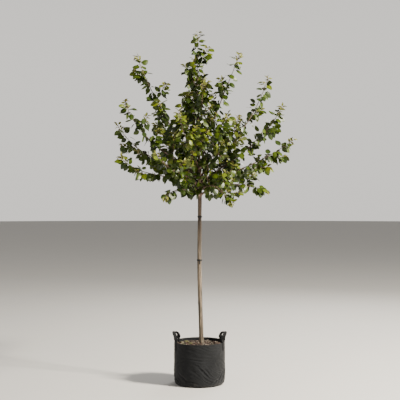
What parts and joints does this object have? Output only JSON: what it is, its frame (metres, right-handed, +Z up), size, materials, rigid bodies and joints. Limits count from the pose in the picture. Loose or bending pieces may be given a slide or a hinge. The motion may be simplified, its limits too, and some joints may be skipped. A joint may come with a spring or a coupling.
{
  "type": "potted sapling tree",
  "caption": "Young clear-stem pear tree with an open upswept crown, standing on its root ball in a round black felt planting bag with strap handles.",
  "frame": {"origin": "centre of the bag's flat underside, on the ground", "axes": "+Z up along the trunk, -Y towards the front, +X to the right seen from the front; the two handles are at +X and -X, set a little to the back"},
  "size_m": [1.6723, 1.37, 3.101],
  "materials": {
    "bag_felt": "matt black needle-felt with soft creases",
    "webbing": "matt black woven strap",
    "compost": "loose red-brown bark mulch over dark compost",
    "trunk_bark": "grey-brown young bark with raised lenticels",
    "bough_bark": "smooth olive to red-brown young bark",
    "foliage": "glossy dark green leaves, yellow-green at the shoot tips",
    "tie_rubber": "matt black rubber"
  },
  "bodies": {
    "root": {"back_high": "bough_bark", "back_high_leaves": "foliage", "back_left": "bough_bark", "back_left_leaves": "foliage", "back_left_low": "bough_bark", "back_left_low_leaves": "foliage", "back_right": "bough_bark", "back_right_leaves": "foliage", "back_right_low": "bough_bark", "back_right_low_leaves": "foliage", "back_under": "bough_bark", "back_under_leaves": "foliage", "bag": "bag_felt", "front_high": "bough_bark", "front_high_leaves": "foliage", "front_left": "bough_bark", "front_left_leaves": "foliage", "front_left_low": "bough_bark", "front_left_low_leaves": "foliage", "front_right": "bough_bark", "front_right_leaves": "foliage", "front_under": "bough_bark", "front_under_leaves": "foliage", "handle_left": "webbing", "handle_right": "webbing", "leader_leaves_1": "foliage", "leader_leaves_2": "foliage", "leader_leaves_3": "foliage", "leader_leaves_4": "foliage", "leader_leaves_5": "foliage", "leader_leaves_6": "foliage", "leader_top_leaves": "foliage", "left_high": "bough_bark", "left_high_leaves": "foliage", "left_low": "bough_bark", "left_low_leaves": "foliage", "left_middle": "bough_bark", "left_middle_leaves": "foliage", "left_under": "bough_bark", "left_under_leaves": "foliage", "left_upper": "bough_bark", "left_upper_leaves": "foliage", "right_high": "bough_bark", "right_high_leaves": "foliage", "right_low": "bough_bark", "right_low_leaves": "foliage", "right_middle": "bough_bark", "right_middle_leaves": "foliage", "right_under": "bough_bark", "right_under_leaves": "foliage", "right_upper": "bough_bark", "right_upper_leaves": "foliage", "root_ball": "compost", "tie_lower": "tie_rubber", "tie_upper": "tie_rubber", "trunk": "trunk_bark"}
  },
  "joints": []
}
